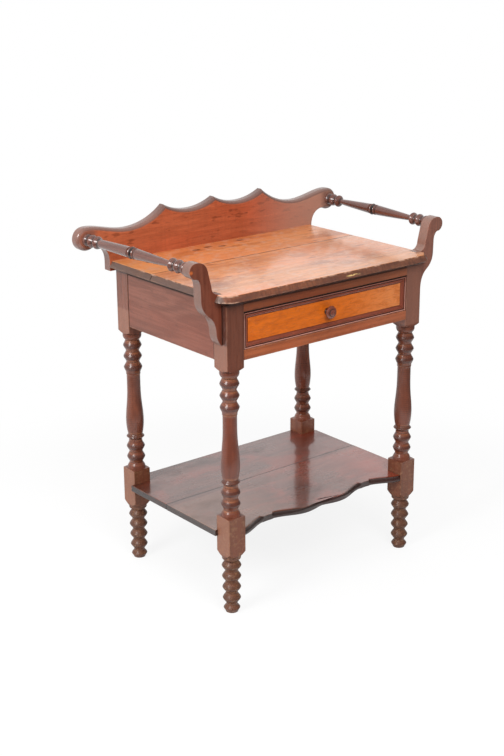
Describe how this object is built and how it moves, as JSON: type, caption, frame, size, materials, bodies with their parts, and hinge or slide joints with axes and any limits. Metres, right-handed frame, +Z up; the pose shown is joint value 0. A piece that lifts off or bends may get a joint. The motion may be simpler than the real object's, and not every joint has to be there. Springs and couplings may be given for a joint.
{
  "type": "washstand",
  "caption": "Wooden washstand on spool-turned legs, with a shaped splashback, a turned towel bar at each side, a small drawer that slides out and a shaped lower shelf.",
  "frame": {"origin": "on the floor, below the centre of the whole washstand's box", "axes": "+X to the washstand's right as seen from its front, +Y to the back, +Z up"},
  "size_m": [0.747, 0.4314, 0.819],
  "materials": {
    "leg_wood": "satin old varnish on mahogany-brown wood",
    "case_wood": "satin old varnish on mahogany-brown wood",
    "inside_wood": "bare, planed softwood gone tan",
    "top_wood": "worn varnish over orange-brown wood",
    "splash_wood": "satin varnish on reddish orange wood",
    "bracket_wood": "satin old varnish",
    "bar_wood": "glossy old varnish on turned wood",
    "shelf_wood": "satin dark varnish",
    "front_wood": "satin old varnish",
    "panel_wood": "satin varnish on golden-orange mottled wood",
    "moulding_wood": "satin dark red-brown varnish",
    "knob_wood": "glossy dark varnish on turned wood",
    "screw_steel": "dull, darkened steel"
  },
  "bodies": {
    "stand": {"leg_front_left": "leg_wood", "leg_front_right": "leg_wood", "leg_rear_left": "leg_wood", "leg_rear_right": "leg_wood", "side_apron_left": "case_wood", "side_apron_right": "case_wood", "rear_apron": "case_wood", "front_rail_upper": "case_wood", "front_rail_lower": "case_wood", "drawer_runner_left": "inside_wood", "drawer_runner_right": "inside_wood", "drawer_guide_left": "inside_wood", "drawer_guide_right": "inside_wood", "drawer_kicker_left": "inside_wood", "drawer_kicker_right": "inside_wood", "drawer_stops": "inside_wood", "glue_blocks": "inside_wood", "top_board_front": "top_wood", "top_board_rear": "top_wood", "top_screws": "screw_steel", "splashback": "splash_wood", "splashback_screws": "screw_steel", "towel_bracket_left": "bracket_wood", "towel_bracket_right": "bracket_wood", "bracket_screws": "screw_steel", "towel_bar_left": "bar_wood", "towel_bar_right": "bar_wood", "shelf_board_front": "shelf_wood", "shelf_board_rear": "shelf_wood"},
    "drawer": {"drawer_front": "front_wood", "drawer_panel": "panel_wood", "drawer_moulding_top": "moulding_wood", "drawer_moulding_bottom": "moulding_wood", "drawer_moulding_left": "moulding_wood", "drawer_moulding_right": "moulding_wood", "drawer_side_left": "inside_wood", "drawer_side_right": "inside_wood", "drawer_back": "inside_wood", "drawer_bottom": "inside_wood", "drawer_nails": "screw_steel", "drawer_knob": "knob_wood"}
  },
  "joints": [
    {"name": "drawer_slide", "type": "slide", "parent": "stand", "child": "drawer", "axis": [0, -1, 0], "range_m": [0, 0.27]}
  ]
}
